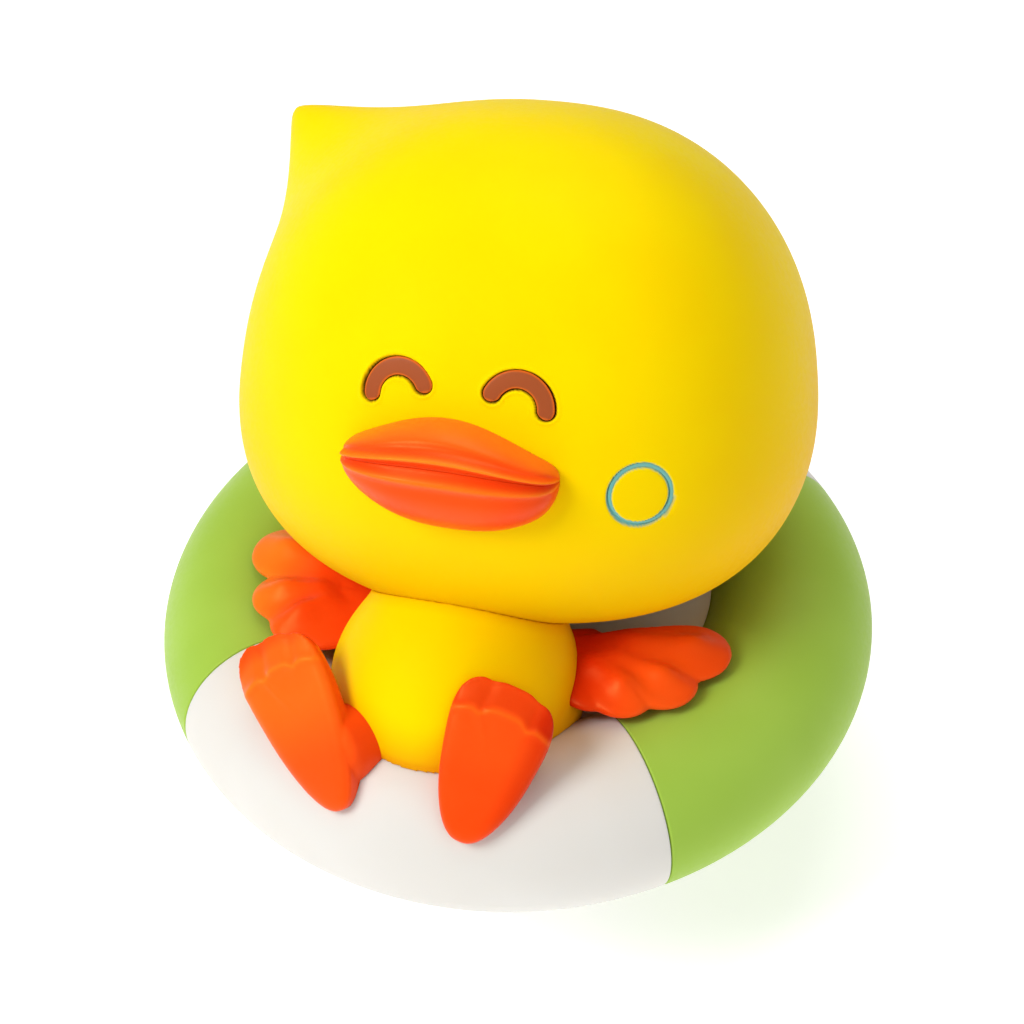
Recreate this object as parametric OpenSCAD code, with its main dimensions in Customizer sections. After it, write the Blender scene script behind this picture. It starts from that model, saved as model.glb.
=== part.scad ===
// Floating chlorine dispenser: a duckling figure reclines on a swim ring that carries
// a screw-in tablet canister. Millimetres. The origin is the centre of the base's
// underside, +Z is up and the figure faces -Y.

/* [Swim ring] */
// Radius of the ring's centre line
ring_r = 68; // [67.5:0.5:69]
// Radius of the ring's tube
tube_r = 22; // [21.5:0.5:22.5]
// Height of the ring's centre line above the base
ring_z = 54; // [54:1:58]
// Wall of the hollow ring cells
ring_wall = 2.2; // [2:0.2:3]

/* [Deck and hub] */
// Height of the deck's top face above the ring's centre line
deck_rise = 12; // [11.5:0.5:12]
// Thickness of the deck
deck_t = 3; // [2.5:0.5:3]
// Radius of the hub's bore, which takes the canister
bore_r = 43.4; // [43.3:0.1:43.5]
// Radius of the air opening in the hub's top shelf
shelf_r = 30; // [29:1:32]

/* [Canister] */
// Inner radius, for a tablet 76 mm across
chamber_r = 39.5; // [39.2:0.1:39.7]
// Wall of the canister
canister_wall = 2; // [1.8:0.1:2.2]
// Number of outlet slots
slots = 8; // [6:1:8]
// Width of each outlet slot
slot_w = 10; // [8:1:10]
// Height of each outlet slot
slot_h = 13; // [10:1:13]

/* [Screw thread] */
// Rise of the thread in one turn
lead = 12; // [12:1:12]
// Number of thread starts
starts = 3; // [3:1:3]
// Height of the threaded band
thread_h = 12; // [10:1:12]
// Axial thickness of a thread rib
rib_t = 1.6; // [1.4:0.1:1.6]

/* [Head] */
// Half width of the head
head_w = 68.6; // [68:0.2:69]
// Half depth of the head
head_d = 61.8; // [61:0.2:62]
// Half height of the head
head_h = 61.2; // [61:0.2:62]
// Squareness of the head, where 2 is an ellipsoid
head_power = 2.32; // [2.1:0.02:2.4]
// Fullness of the cheeks
cheek_fullness = 0.11; // [0.05:0.01:0.12]
// Backward tilt of the head
head_tilt = 25; // [24:1:26]
// Turn of the head towards the figure's left
head_yaw = 7; // [6:1:8]
// Lean of the head towards the figure's right
head_roll = -1.7; // [-2:0.1:-1.5]
// Wall of the moulded shells
skin = 3; // [2.6:0.2:3]
// Height of the side tuft
tuft_h = 21; // [18:1:22]
// Turn of the tuft on the head
tuft_az = -106.4; // [-108:0.2:-104]
// Height angle of the tuft
tuft_el = 35.1; // [34:0.1:36]
// Spread angle of the tuft
tuft_spread = 12.9; // [12:0.1:14]

/* [Face] */
// Turn of the face on the head
face_az = -3.5; // [-4:0.5:-3]
// Angle between an eye and the middle of the eyes
eye_az = 13.6; // [13:0.1:14]
// Height angle of the eyes
eye_el = 7; // [6:0.5:8]
// Radius of an eye's arc
eye_r = 6.6; // [6.2:0.1:6.8]
// Width of an eye's stroke
eye_w = 4.9; // [4.4:0.1:5]
// Height angle of the bill's parting line
bill_el = -6.9; // [-7.5:0.1:-6.5]
// Half width angle of the bill
bill_half = 22.8; // [22:0.2:23.6]
// How far the bill stands out from the head
bill_out = 12; // [10:1:12]

/* [Body] */
// Radius of the round body
ball_r = 30.8; // [30.6:0.1:31]
// Length of a foot
foot_l = 42; // [40:1:43]
// Width of a foot
foot_w = 27; // [24:1:28]
// Length of a wing
wing_l = 37; // [34:1:38]
// Width of a wing
wing_w = 27; // [24:1:28]

/* [Hidden] */
$fn = 96;

// Gaps: glued faces, running fits, and soft shells pressed against each other
glue = 0.1;
run = 0.3;
press = 0.45;
// Extra room over the ring, because a flat facet between two points dips towards the tube
flat_facets = 0.25;

// Screws: radii of the shank, its hole, its tapped hole, the head, the head's recess and the drive
shank_r = 1.5;
shank_hole_r = 1.7;
tapped_r = 1.55;
screw_head_r = 3;
sunk_r = 3.1;
drive_r = 1.3;

// Colours
yellow = "gold";
orange = "orangered";
cream = "whitesmoke";
leaf = "yellowgreen";

// Heights, from the base upwards
cap_t = 3;
skirt_top = 14.2;
ballast_z = [3.2, 9.6];
floor_z = [10, 12];
tray_z = [15, 16.6];
slot_z = 18;
collar_z = [14.5, 34.2];
flange_z = [34.6, 36];
hub_bottom = 37;
thread_z = ring_z - 10;
thread_turn = 360 * (thread_h - rib_t) / lead;
lug_first = 7;
rim_z = ring_z + 4;
shelf_z = ring_z + 4.5;
hub_top = ring_z + deck_rise - deck_t - 0.5;
deck_top = ring_z + deck_rise;

// Radii
canister_r = chamber_r + canister_wall;
collar_r = [canister_r + run, canister_r + run + 2];
flange_r = canister_r + 2.9;
saddle_r = tube_r + 0.2;

// Figure
head_size = [head_w, head_d, head_h];
head_c = [1.5, 13.4, ring_z + 77];
tuft = heading(tuft_az, tuft_el);
ball_c = [2, -43.9, ring_z + 18.7];
body_core = ball_c + [0, -6, 6];
neck = unit(head_c - ball_c);
neck_r = 9;
neck_from = 11.5;
neck_l = 16;
ankle_r = 8.5;
stub_r = 4.5;
socket_d = 1.6;
eye_depth = 2;
inlay_t = 1.2;
eye_shift = 0.6;
eye_drop = 2.6;
eye_end = 14;
mark_r = 7.2;
mark_w = 1.2;
mark_depth = 1.7;

// ---------- vectors ----------
function unit(v) = v / norm(v);
function flat(rows) = [for (row = rows) for (item = row) item];
function mean(points) = [for (point = points) 1] * points / len(points);
function heading(az, el) = [sin(az) * cos(el), -cos(az) * cos(el), sin(el)];
function turn_x(a) = [[1, 0, 0], [0, cos(a), -sin(a)], [0, sin(a), cos(a)]];
function turn_y(a) = [[cos(a), 0, sin(a)], [0, 1, 0], [-sin(a), 0, cos(a)]];
function turn_z(a) = [[cos(a), -sin(a), 0], [sin(a), cos(a), 0], [0, 0, 1]];
function across(z, up) = unit(cross(up, z));
function placed(o, x, y, z) =
  [[x.x, y.x, z.x, o.x], [x.y, y.y, z.y, o.y], [x.z, y.z, z.z, o.z], [0, 0, 0, 1]];
function looking(o, z, up) = placed(o, across(z, up), cross(z, across(z, up)), z);
// Directions on a circle at angle a from the pole, one for each angle b around it
function latitude(pole, up, a, count) =
  let (x = across(pole, up), y = cross(pole, x))
  [for (i = [0:count - 1])
    let (b = 360 * i / count) pole * cos(a) + (x * cos(b) - y * sin(b)) * sin(a)];

// A closed skin through rings of points, with a point at each end
module loft(rings, first, last) {
  n = len(rings[0]);
  m = len(rings);
  points = concat(flat(rings), [first, last]);
  sides = [
    for (j = [0:m - 2]) for (i = [0:n - 1])
      let (k = (i + 1) % n, a = j * n, b = (j + 1) * n)
      for (face = [[a + i, b + i, b + k], [a + i, b + k, a + k]]) face
  ];
  start = [for (i = [0:n - 1]) [m * n, i, (i + 1) % n]];
  end = [for (i = [0:n - 1]) let (a = (m - 1) * n) [m * n + 1, a + (i + 1) % n, a + i]];
  polyhedron(points = points, faces = concat(sides, start, end), convexity = 6);
}

// ---------- head ----------
head_turn = turn_z(head_yaw) * turn_x(-head_tilt) * turn_y(head_roll);

function rounded(d) =
  d / pow(pow(abs(d.x / head_size.x), head_power) + pow(abs(d.y / head_size.y), head_power)
    + pow(abs(d.z / head_size.z), head_power), 1 / head_power);
function cheeks(q) =
  let (k = cheek_fullness * q.z / head_size.z) [q.x * (1 - k), q.y * (1 - k / 2), q.z];
function tuft_rise(d) = tuft_h * exp(-pow(acos(min(1, d * tuft)) / tuft_spread, 1.35));
// Surface point of the head in direction d, moved in by inset
function head_point(d, inset = 0) =
  head_c + head_turn * (cheeks(rounded(d)) * (1 - inset / head_size.z)
    + tuft * tuft_rise(d) * (1 - inset / 8));
function face_point(az, el) = head_point(heading(face_az + az, el));
function face_out(az, el) =
  unit(cross(face_point(az + 1, el) - face_point(az - 1, el),
    face_point(az, el + 1) - face_point(az, el - 1)));
function face_place(az, el) = looking(face_point(az, el), face_out(az, el), [0, 0, 1]);

module head_skin(inset) {
  m = 22;
  rings = [for (j = [1:m - 1]) [for (d = latitude(tuft, [0, 1, 0], 180 * pow(j / m, 1.15), 44))
    head_point(d, inset)]];
  loft(rings, head_point(tuft, inset), head_point(-tuft, inset));
}

// An arc of stroke width w with round ends, open side down
module eye_arc(w, h) {
  rotate([0, 0, eye_end]) rotate_extrude(angle = 180 - 2 * eye_end)
    translate([eye_r - w / 2, 0]) square([w, h]);
  for (a = [eye_end, 180 - eye_end]) rotate([0, 0, a]) translate([eye_r, 0, 0]) cylinder(d = w, h = h);
}
function eye_lean(side) = side > 0 ? -15 : 21;
module on_eye(side) {
  multmatrix(face_place(side * eye_az + eye_shift, eye_el)) rotate([0, 0, eye_lean(side)])
    translate([0, -eye_drop, 0]) children();
}
module on_cheek() multmatrix(face_place(38.6, -12)) children();
module circle_mark(w, h) {
  rotate_extrude() translate([mark_r - w / 2, 0]) square([w, h]);
}

module head_shell() color(yellow) difference() {
  head_skin(0);
  head_skin(skin);
  for (side = [-1, 1]) on_eye(side) translate([0, 0, -eye_depth]) eye_arc(eye_w, 2 * eye_depth);
  on_cheek() translate([0, 0, -mark_depth]) circle_mark(mark_w + 2 * glue, 2 * mark_depth);
  neck_bore();
}
module eye_inlay(side) color("saddlebrown")
  on_eye(side) translate([0, 0, glue / 2 - eye_depth]) eye_arc(eye_w - 2 * glue, inlay_t);
module eye_inlay_left() eye_inlay(1);
module eye_inlay_right() eye_inlay(-1);
module cheek_mark() color("lightblue")
  on_cheek() translate([0, 0, glue / 2 - mark_depth]) circle_mark(mark_w, 1);

// ---------- bill ----------
// One half of the bill: upper is 1, lower is -1. Its back follows the head.
function bill_edge(u, upper) =
  1.7 + (upper > 0 ? 6.6 * pow(1 - u * u, 2) : 13.1 * pow(1 - pow(abs(u), 2.3), 0.9));
function bill_parting(u) = bill_el - 2 * u * u - 0.5 * u;
function bill_swell(u, v) =
  0.5 + (bill_out - 0.5) * pow(max(0, 1 - pow(abs(u), 2.4)), 0.55) * pow(max(0, 1 - pow(v, 2.2)), 0.6);
function bill_place(u, v, upper, out) =
  let (az = bill_half * u, el = bill_parting(u) + upper * (0.12 + v * bill_edge(u, upper)))
  face_point(az, el) + face_out(az, el) * (out ? bill_swell(u, v) : glue);
module bill_half_shell(upper) {
  n = 9;
  m = 18;
  loops = [for (i = [0:m]) let (u = -0.985 + 1.97 * i / m) concat(
    [for (k = [0:n]) bill_place(u, k / n, upper, true)],
    [for (k = [n:-1:0]) bill_place(u, k / n, upper, false)])];
  rings = upper > 0 ? [for (loop = loops) [for (k = [len(loop) - 1:-1:0]) loop[k]]] : loops;
  loft(rings, mean(rings[0]), mean(rings[m]));
}
module upper_bill() color(orange) bill_half_shell(1);
module lower_bill() color(orange) bill_half_shell(-1);

// ---------- body ----------
// Room outside the ring, the head and the deck, positive where a point is clear of them
function ring_room(p) = norm([norm([p.x, p.y]) - ring_r, p.z - ring_z]) - tube_r;
function head_room(p) =
  let (q = (p - head_c) * head_turn, k = cheek_fullness * q.z / head_size.z,
    s = [q.x / (1 - k) / head_size.x, q.y / (1 - k / 2) / head_size.y, q.z / head_size.z])
  (pow(pow(abs(s.x), head_power) + pow(abs(s.y), head_power) + pow(abs(s.z), head_power),
    1 / head_power) - 1) * head_size.z;
function room(p) = min(ring_room(p) - flat_facets, head_room(p), p.z - deck_top,
  ball_r + press - norm(p - ball_c));
// Farthest distance from o along d, between low and high, that keeps a gap
function reach(o, d, low, high, gap, steps) =
  steps == 0 ? low
  : let (mid = (low + high) / 2)
    room(o + d * mid) > gap ? reach(o, d, mid, high, gap, steps - 1)
    : reach(o, d, low, mid, gap, steps - 1);

// The ball of the body, pressed against the ring, the deck and the head, seen from a point inside it
function body_point(d, inset) =
  body_core + d * reach(body_core, d, 0, 1.5 * ball_r, press + inset, 13);
module body_skin(inset) {
  m = 24;
  rings = [for (j = [1:m - 1])
    [for (d = latitude(neck, [1, 0, 0], 180 * j / m, 2 * m)) body_point(d, inset)]];
  loft(rings, body_point(neck, inset), body_point(-neck, inset));
}
module along(o, d) multmatrix(looking(o, d, [0, 0.3, 1])) children();
module neck_bore() along(ball_c, neck) translate([0, 0, neck_from - 0.5])
  cylinder(r = neck_r + glue, h = neck_l + 4);
module neck_coupler() color(cream) along(ball_c, neck) translate([0, 0, neck_from]) difference() {
  cylinder(r = neck_r, h = neck_l);
  translate([0, 0, -1]) cylinder(r = neck_r - 2.5, h = neck_l + 2);
}

// Bosses for the screws that come up through the deck
boss_x = 9;
boss_y = -24;
boss_h = 9;
module at_bosses() for (x = [-boss_x, boss_x]) translate([x, boss_y, 0]) children();

// A shallow socket in the body for a stub of radius r
module socket(r) translate([0, 0, ball_r - socket_d]) cylinder(r = r + glue, h = 8);
module body_shell() color(yellow) difference() {
  union() {
    difference() {
      body_skin(0);
      body_skin(skin - 0.4);
    }
    at_bosses() translate([0, 0, deck_top + 1]) cylinder(r = 4, h = boss_h);
  }
  at_bosses() translate([0, 0, deck_top - 1]) cylinder(r = tapped_r, h = boss_h + 1);
  saddle(tube_r + run);
  neck_bore();
  for (side = [-1, 1]) {
    along(ball_c, foot_axis(side)) socket(ankle_r);
    along(ball_c, wing_axis(side)) socket(stub_r);
  }
}
module figure_screws() color("silver") at_bosses() {
  translate([0, 0, deck_top - deck_t - 2.2]) difference() {
    cylinder(r = screw_head_r, h = 2.1);
    translate([0, 0, -1]) cylinder(r = drive_r, h = 2.2, $fn = 6);
  }
  translate([0, 0, deck_top - deck_t - 0.2]) cylinder(r = shank_r, h = deck_t + boss_h - 1);
}

// ---------- wings ----------
// Side 1 is the figure's left. Root and tip are on the wing's middle line.
function wing_root(side) = side > 0 ? [32.5, -32, ring_z + 25] : [-30, -36, ring_z + 25];
function wing_run(side) = side > 0 ? unit([34, 14, -1]) : unit([-35, 11, -1]);
function wing_axis(side) = unit(wing_root(side) - ball_c);
function wing_half(s) = wing_w / 2 * (0.5 + 0.5 * sin(190 * pow(s, 0.8))) * sqrt(1 - pow(s, 8));
function wing_thick(s) = 4.6 * (1 - 0.3 * s) * sqrt(1 - pow(s, 8));
// Lifts a point that would sink into the ring
function settled(p, lift) =
  let (r = norm([p.x, p.y]) - ring_r)
  abs(r) < tube_r + lift ? [p.x, p.y, max(p.z, ring_z + sqrt(pow(tube_r + lift, 2) - r * r))] : p;
module wing(side) {
  n = 20;
  m = 14;
  a = wing_run(side);
  up = unit([0, 0, 1] - a * a.z);
  w = cross(up, a);
  rings = [for (j = [0:m]) let (s = 0.985 * j / m)
    [for (i = [0:n - 1]) let (t = 360 * i / n)
      settled(wing_root(side) + a * (s * wing_l)
        + w * (wing_half(s) * cos(t)) + up * (wing_thick(s) * sin(t)), press + 0.5 * (sin(t) + 1))]];
  loft(rings, mean(rings[0]), mean(rings[m]));
}
module wing_solid(side) color(orange) {
  wing(side);
  along(ball_c, wing_axis(side)) translate([0, 0, ball_r + glue - socket_d]) cylinder(r = stub_r, h = 5);
}
module wing_left() wing_solid(1);
module wing_right() wing_solid(-1);

// ---------- feet ----------
// A foot stands on its heel on the ring and leans back, with its sole facing out
function heel(side) = side > 0 ? [18.5, -85, ring_z + 15] : [-12, -86, ring_z + 15];
function toes(side) = side > 0 ? [25.6, -61.2, ring_z + 41.3] : [-36.5, -63.2, ring_z + 40];
function foot_run(side) = unit(toes(side) - heel(side));
function sole_out(side) =
  let (a = foot_run(side), n = heading(side > 0 ? 12 : -18, 38)) unit(n - a * (a * n));
// Moves a point that would sink into the body out to its surface
function off_ball(p) =
  let (d = p - ball_c) norm(d) < ball_r + press ? ball_c + unit(d) * (ball_r + press) : p;
function foot_half(s) =
  foot_w / 2 * (0.42 + 0.58 * sin(min(90, 125 * s))) * sqrt(1 - pow(abs(1.9 * s - 0.95) / 0.97, 7));
function foot_thick(s) = 5 * sqrt(1 - pow(abs(1.9 * s - 0.95) / 0.97, 6));
module foot(side) {
  n = 20;
  m = 16;
  a = foot_run(side);
  out = sole_out(side);
  w = cross(out, a);
  rings = [for (j = [0:m]) let (s = j / m) [for (i = [0:n - 1]) let (t = 360 * i / n)
    settled(off_ball(heel(side) + a * (s * foot_l) + w * (foot_half(s) * cos(t))
      + out * (foot_thick(s) * sin(t) * (sin(t) > 0 ? 0.6 : 1))), press)]];
  loft(rings, mean(rings[0]), mean(rings[m]));
}
function ankle_end(side) = heel(side) + foot_run(side) * (0.45 * foot_l);
function foot_axis(side) = unit(ankle_end(side) - ball_c);
module foot_solid(side) color(orange) {
  foot(side);
  difference() {
    along(ball_c, foot_axis(side)) translate([0, 0, ball_r + glue - socket_d])
      cylinder(r = ankle_r, h = norm(ankle_end(side) - ball_c) - ball_r - 0.5);
    saddle(tube_r + press);
  }
}
module foot_left() foot_solid(1);
module foot_right() foot_solid(-1);

// ---------- swim ring ----------
// A closed quarter of the ring that starts at angle a, with a bulkhead at each end
module at_plug(a) rotate([0, 0, a + 45]) translate([ring_r, 0, ring_z - tube_r]) children();
module cell(a) {
  gap = 0.06;
  head_a = 2;
  difference() {
    rotate([0, 0, a + gap]) translate([0, 0, ring_z])
      rotate_extrude(angle = 90 - 2 * gap) translate([ring_r, 0]) circle(tube_r);
    rotate([0, 0, a + head_a]) translate([0, 0, ring_z])
      rotate_extrude(angle = 90 - 2 * head_a) translate([ring_r, 0]) circle(tube_r - ring_wall);
    at_plug(a) translate([0, 0, -1]) cylinder(r = 6, h = 2);
    at_plug(a) cylinder(r = 4, h = 5);
  }
}
module ring_front() color(cream) cell(-135);
module ring_left() color(leaf) cell(-45);
module ring_rear() color(cream) cell(45);
module ring_right() color(leaf) cell(135);
module fill_plugs() color(cream) for (a = [-135, -45, 45, 135]) at_plug(a) {
  translate([0, 0, 0.3]) cylinder(r = 5.8, h = 0.65);
  translate([0, 0, 0.9]) cylinder(r = 3.9, h = 4);
}

// ---------- deck and hub ----------
deck_hole_r = 38;
module round_ring(outer, inner, z) translate([0, 0, z[0]]) difference() {
  cylinder(r = outer, h = z[1] - z[0]);
  translate([0, 0, -1]) cylinder(r = inner, h = z[1] - z[0] + 2);
}
// The space of the ring's tube, as a tool that cuts seats for it
module saddle(r = saddle_r)
  translate([0, 0, ring_z]) rotate_extrude() translate([ring_r, 0]) circle(r);
module at_deck_screws() for (i = [0:5]) rotate([0, 0, 30 + 60 * i]) translate([deck_hole_r, 0, 0])
  children();

// A thread rib, swept up a helix as a chain of four-sided sections
module rib(inner, outer, first) {
  steps = 36;
  rings = [for (k = [0:steps]) let (
      turn = thread_turn * k / steps,
      a = first + turn,
      z = thread_z + lead * turn / 360)
    [for (c = [[inner, z], [inner, z + rib_t], [outer, z + rib_t], [outer, z]])
      [c[0] * cos(a), c[0] * sin(a), c[1]]]];
  loft(rings, mean(rings[0]), mean(rings[steps]));
}
// Adds a rib for each start to a wall, one at a time
module threaded(inner, outer, first, count = starts) {
  if (count > 0) {
    threaded(inner, outer, first, count - 1) children();
    rib(inner, outer, first + 360 * count / starts);
  } else {
    children();
  }
}

module hub_sleeve() color(cream) threaded(bore_r - 1.3, bore_r + 0.4, lug_first + 180 / starts) {
  difference() {
    translate([0, 0, hub_bottom]) cylinder(r = 49.4, h = hub_top - hub_bottom);
    saddle();
    translate([0, 0, hub_bottom - 1]) cylinder(r = bore_r, h = shelf_z - hub_bottom + 1);
    translate([0, 0, shelf_z - 1]) cylinder(r = shelf_r, h = hub_top - shelf_z + 2);
    at_deck_screws() translate([0, 0, shelf_z - 1]) cylinder(r = tapped_r, h = 6);
  }
}
module deck_plate() color(cream) difference() {
  translate([0, 0, deck_top - deck_t]) cylinder(r = 50.5, h = deck_t);
  saddle();
  at_deck_screws() translate([0, 0, deck_top - deck_t - 1]) cylinder(r = shank_hole_r, h = 6);
  at_deck_screws() translate([0, 0, deck_top - 1.8]) cylinder(r = sunk_r, h = 3);
  at_bosses() translate([0, 0, deck_top - deck_t - 1]) cylinder(r = shank_hole_r, h = 6);
}
module deck_seal() color("dimgray") round_ring(45.5, 42, [hub_top + 0.05, deck_top - deck_t - 0.05]);
module deck_screws() color("silver") at_deck_screws() {
  translate([0, 0, deck_top - 1.75]) difference() {
    cylinder(r = screw_head_r, h = 1.6);
    translate([0, 0, 0.7]) cylinder(r = drive_r, h = 2, $fn = 6);
  }
  translate([0, 0, shelf_z + 0.3]) cylinder(r = shank_r, h = deck_top - 1.7 - shelf_z - 0.3);
}

// The tether eye hangs under the hub at the rear, low enough for a cord to pass under the ring
loop_y = 50;
loop_z = 28;
loop_t = 6;
loop_outer_r = 4.8;
loop_bore_r = 3;
module across_loop(r, l) translate([-l / 2, loop_y, loop_z]) rotate([0, 90, 0]) cylinder(r = r, h = l);
module tether_eye() color(cream) difference() {
  union() {
    translate([-10, 45, hub_bottom - 2.3]) cube([20, 5, 2.2]);
    translate([-loop_t / 2, loop_y - loop_outer_r, loop_z])
      cube([loop_t, 2 * loop_outer_r, hub_bottom - glue - loop_z]);
    across_loop(loop_outer_r, loop_t);
  }
  across_loop(loop_bore_r, loop_t + 2);
  saddle();
  translate([0, 0, loop_z - 6]) cylinder(r = collar_r[1] + 1.1, h = flange_z[0] - loop_z + 5.5);
}

// ---------- canister ----------
boss_r = 14;
module at_base_screws() for (i = [0:2]) rotate([0, 0, 90 + 120 * i]) translate([boss_r, 0, 0])
  children();
module slot_cuts(w, z, h) for (i = [0:slots - 1]) rotate([0, 0, 360 * i / slots])
  translate([chamber_r - 3, -w / 2, z]) cube([12, w, h]);

module rim_gasket() color("dimgray") round_ring(canister_r + 2.7, canister_r + 0.3, [36.05, 36.95]);
// Three short lugs run in the grooves between the hub's ribs
lug_turn = thread_turn - 18;
lug_span = 12;
lug_t = 1.4;
module lugs() for (i = [1:starts]) rotate([0, 0, lug_first + lug_turn - lug_span / 2 + 360 * i / starts])
  translate([0, 0, thread_z + lead * lug_turn / 360 + (rib_t - lug_t) / 2])
    rotate_extrude(angle = lug_span) translate([chamber_r + 1, 0]) square([canister_wall + 0.3, lug_t]);
module canister() color(cream) {
  lugs();
  difference() {
    union() {
      round_ring(canister_r, chamber_r, [4, rim_z]);
      translate([0, 0, floor_z[0]]) cylinder(r = chamber_r + 0.5, h = 2);
      round_ring(flange_r, chamber_r + 0.5, flange_z);
      at_base_screws() translate([0, 0, ballast_z[0]]) cylinder(r = 4, h = 7.5);
    }
    slot_cuts(slot_w, slot_z, slot_h);
    at_base_screws() translate([0, 0, ballast_z[0] - 1]) cylinder(r = tapped_r, h = 7.5);
  }
}
module vent_collar() color("gainsboro") difference() {
  union() {
    round_ring(collar_r[1], collar_r[0], collar_z);
    for (i = [0:2 * slots - 1]) rotate([0, 0, 360 * (i + 0.5) / slots / 2 + 2.8 * (i % 2 * 2 - 1)])
      translate([collar_r[1], 0, collar_z[0] + 1]) cylinder(r = 0.8, h = collar_z[1] - collar_z[0] - 2);
  }
  slot_cuts(slot_w, slot_z - 0.5, slot_h + 1);
}
module tablet_tray() color("gainsboro") {
  difference() {
    translate([0, 0, tray_z[0]]) cylinder(r = chamber_r - 0.4, h = tray_z[1] - tray_z[0]);
    for (x = [-28:8:28]) let (reach_y = sqrt(pow(chamber_r - 5, 2) - x * x) - 1) for (side = [0, 1])
      mirror([0, side, 0]) translate([x - 2, 2, tray_z[0] - 1]) cube([4, reach_y - 2, 4]);
  }
  for (i = [0:3]) rotate([0, 0, 45 + 90 * i]) translate([34, 0, floor_z[1] + 0.05])
    cylinder(r = 2.5, h = 3);
}
module ballast_ring() color("slategray") round_ring(chamber_r - 0.7, 20, ballast_z);
module base_cap() color(cream) difference() {
  cylinder(r = collar_r[1] - 0.4, h = skirt_top);
  translate([0, 0, cap_t]) cylinder(r = collar_r[0], h = skirt_top);
  at_base_screws() translate([0, 0, -1]) cylinder(r = sunk_r, h = 3);
  at_base_screws() translate([0, 0, -1]) cylinder(r = shank_hole_r, h = 6);
}
module base_screws() color("silver") at_base_screws() {
  translate([0, 0, 0.4]) difference() {
    cylinder(r = screw_head_r, h = 1.55);
    translate([0, 0, -1]) cylinder(r = drive_r, h = 1.8, $fn = 6);
  }
  translate([0, 0, 1.9]) cylinder(r = shank_r, h = 7);
}

head_shell();
upper_bill();
lower_bill();
eye_inlay_left();
eye_inlay_right();
cheek_mark();
neck_coupler();
body_shell();
wing_left();
wing_right();
foot_left();
foot_right();
figure_screws();
ring_front();
ring_left();
ring_rear();
ring_right();
fill_plugs();
hub_sleeve();
deck_plate();
deck_seal();
deck_screws();
tether_eye();
rim_gasket();
canister();
vent_collar();
tablet_tray();
ballast_ring();
base_cap();
base_screws();
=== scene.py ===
"""Looks of the floating chlorine dispenser: a moulded vinyl duckling on a four-colour swim ring.

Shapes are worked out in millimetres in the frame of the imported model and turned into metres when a
mesh is made. The origin is under the middle of the base, +Z is up and the figure faces -Y.
"""

import bpy
import numpy as np
from mathutils import Matrix, Vector


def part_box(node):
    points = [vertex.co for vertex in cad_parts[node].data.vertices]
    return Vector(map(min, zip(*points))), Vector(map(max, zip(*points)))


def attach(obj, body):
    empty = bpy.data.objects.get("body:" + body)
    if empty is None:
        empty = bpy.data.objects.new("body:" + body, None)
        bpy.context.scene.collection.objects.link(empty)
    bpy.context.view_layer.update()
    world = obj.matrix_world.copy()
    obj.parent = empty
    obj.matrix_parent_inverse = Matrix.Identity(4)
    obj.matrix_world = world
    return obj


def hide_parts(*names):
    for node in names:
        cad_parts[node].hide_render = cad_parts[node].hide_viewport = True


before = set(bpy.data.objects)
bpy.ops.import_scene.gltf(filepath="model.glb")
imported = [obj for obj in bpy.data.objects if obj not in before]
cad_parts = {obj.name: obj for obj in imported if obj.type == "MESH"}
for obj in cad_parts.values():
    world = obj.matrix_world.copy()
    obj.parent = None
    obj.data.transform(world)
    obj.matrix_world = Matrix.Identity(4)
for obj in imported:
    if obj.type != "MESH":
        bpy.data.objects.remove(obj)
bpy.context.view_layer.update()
MM = 0.001


# ---------- vectors ----------
def unit(v):
    """v at length 1, along the last axis."""
    v = np.asarray(v, float)
    return v / np.linalg.norm(v, axis=-1, keepdims=True)


def heading(az, el):
    """Direction at az degrees from the figure's front towards its left, and el degrees up."""
    az, el = np.radians(az), np.radians(el)
    parts = np.broadcast_arrays(np.sin(az) * np.cos(el), -np.cos(az) * np.cos(el), np.sin(el))
    return np.stack(parts, -1)


def turned(axis, degrees):
    """Rotation matrix about an axis."""
    return np.array(Matrix.Rotation(np.radians(degrees), 3, axis))


def smooth(low, high, x):
    """0 below low, 1 above high, with a soft step between them."""
    t = np.clip((np.asarray(x, float) - low) / (high - low), 0, 1)
    return t * t * (3 - 2 * t)


def bell(x, middle, width):
    """A bump of height 1 at the middle."""
    return np.exp(-(((x - middle) / width) ** 2))


def cad_box(*names):
    """Lowest and highest corner of CAD nodes together, in millimetres."""
    boxes = [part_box(name) for name in names]
    low = np.min([np.array(box[0]) for box in boxes], 0)
    high = np.max([np.array(box[1]) for box in boxes], 0)
    return low / MM, high / MM


# ---------- driving dimensions, in millimetres and degrees ----------
# A side is 1 for the figure's left and -1 for its right. _AZ and _EL are angles on the face, as for
# heading(), and _GAP is how far a skin stays off its neighbour.
RING_NODES = ["ring_front", "ring_left", "ring_rear", "ring_right"]
RING_LOW, RING_HIGH = cad_box(*RING_NODES)
TUBE_R = (RING_HIGH[2] - RING_LOW[2]) / 2
RING_Z = (RING_HIGH[2] + RING_LOW[2]) / 2
RING_R = RING_HIGH[0] - TUBE_R
DECK_TOP = cad_box("deck_plate")[1][2]

HEAD_HALF = np.array([68.6, 61.8, 61.2])
HEAD_POWER = 2.32
FACET_LOSS = 0.13
CHEEK_FULLNESS = 0.11
HEAD_TURN = turned("Z", 7) @ turned("X", -25) @ turned("Y", -1.7)
TUFT = heading(-106.4, 35.1)
TUFT_H = 21
TUFT_SPREAD = 12.9

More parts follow.
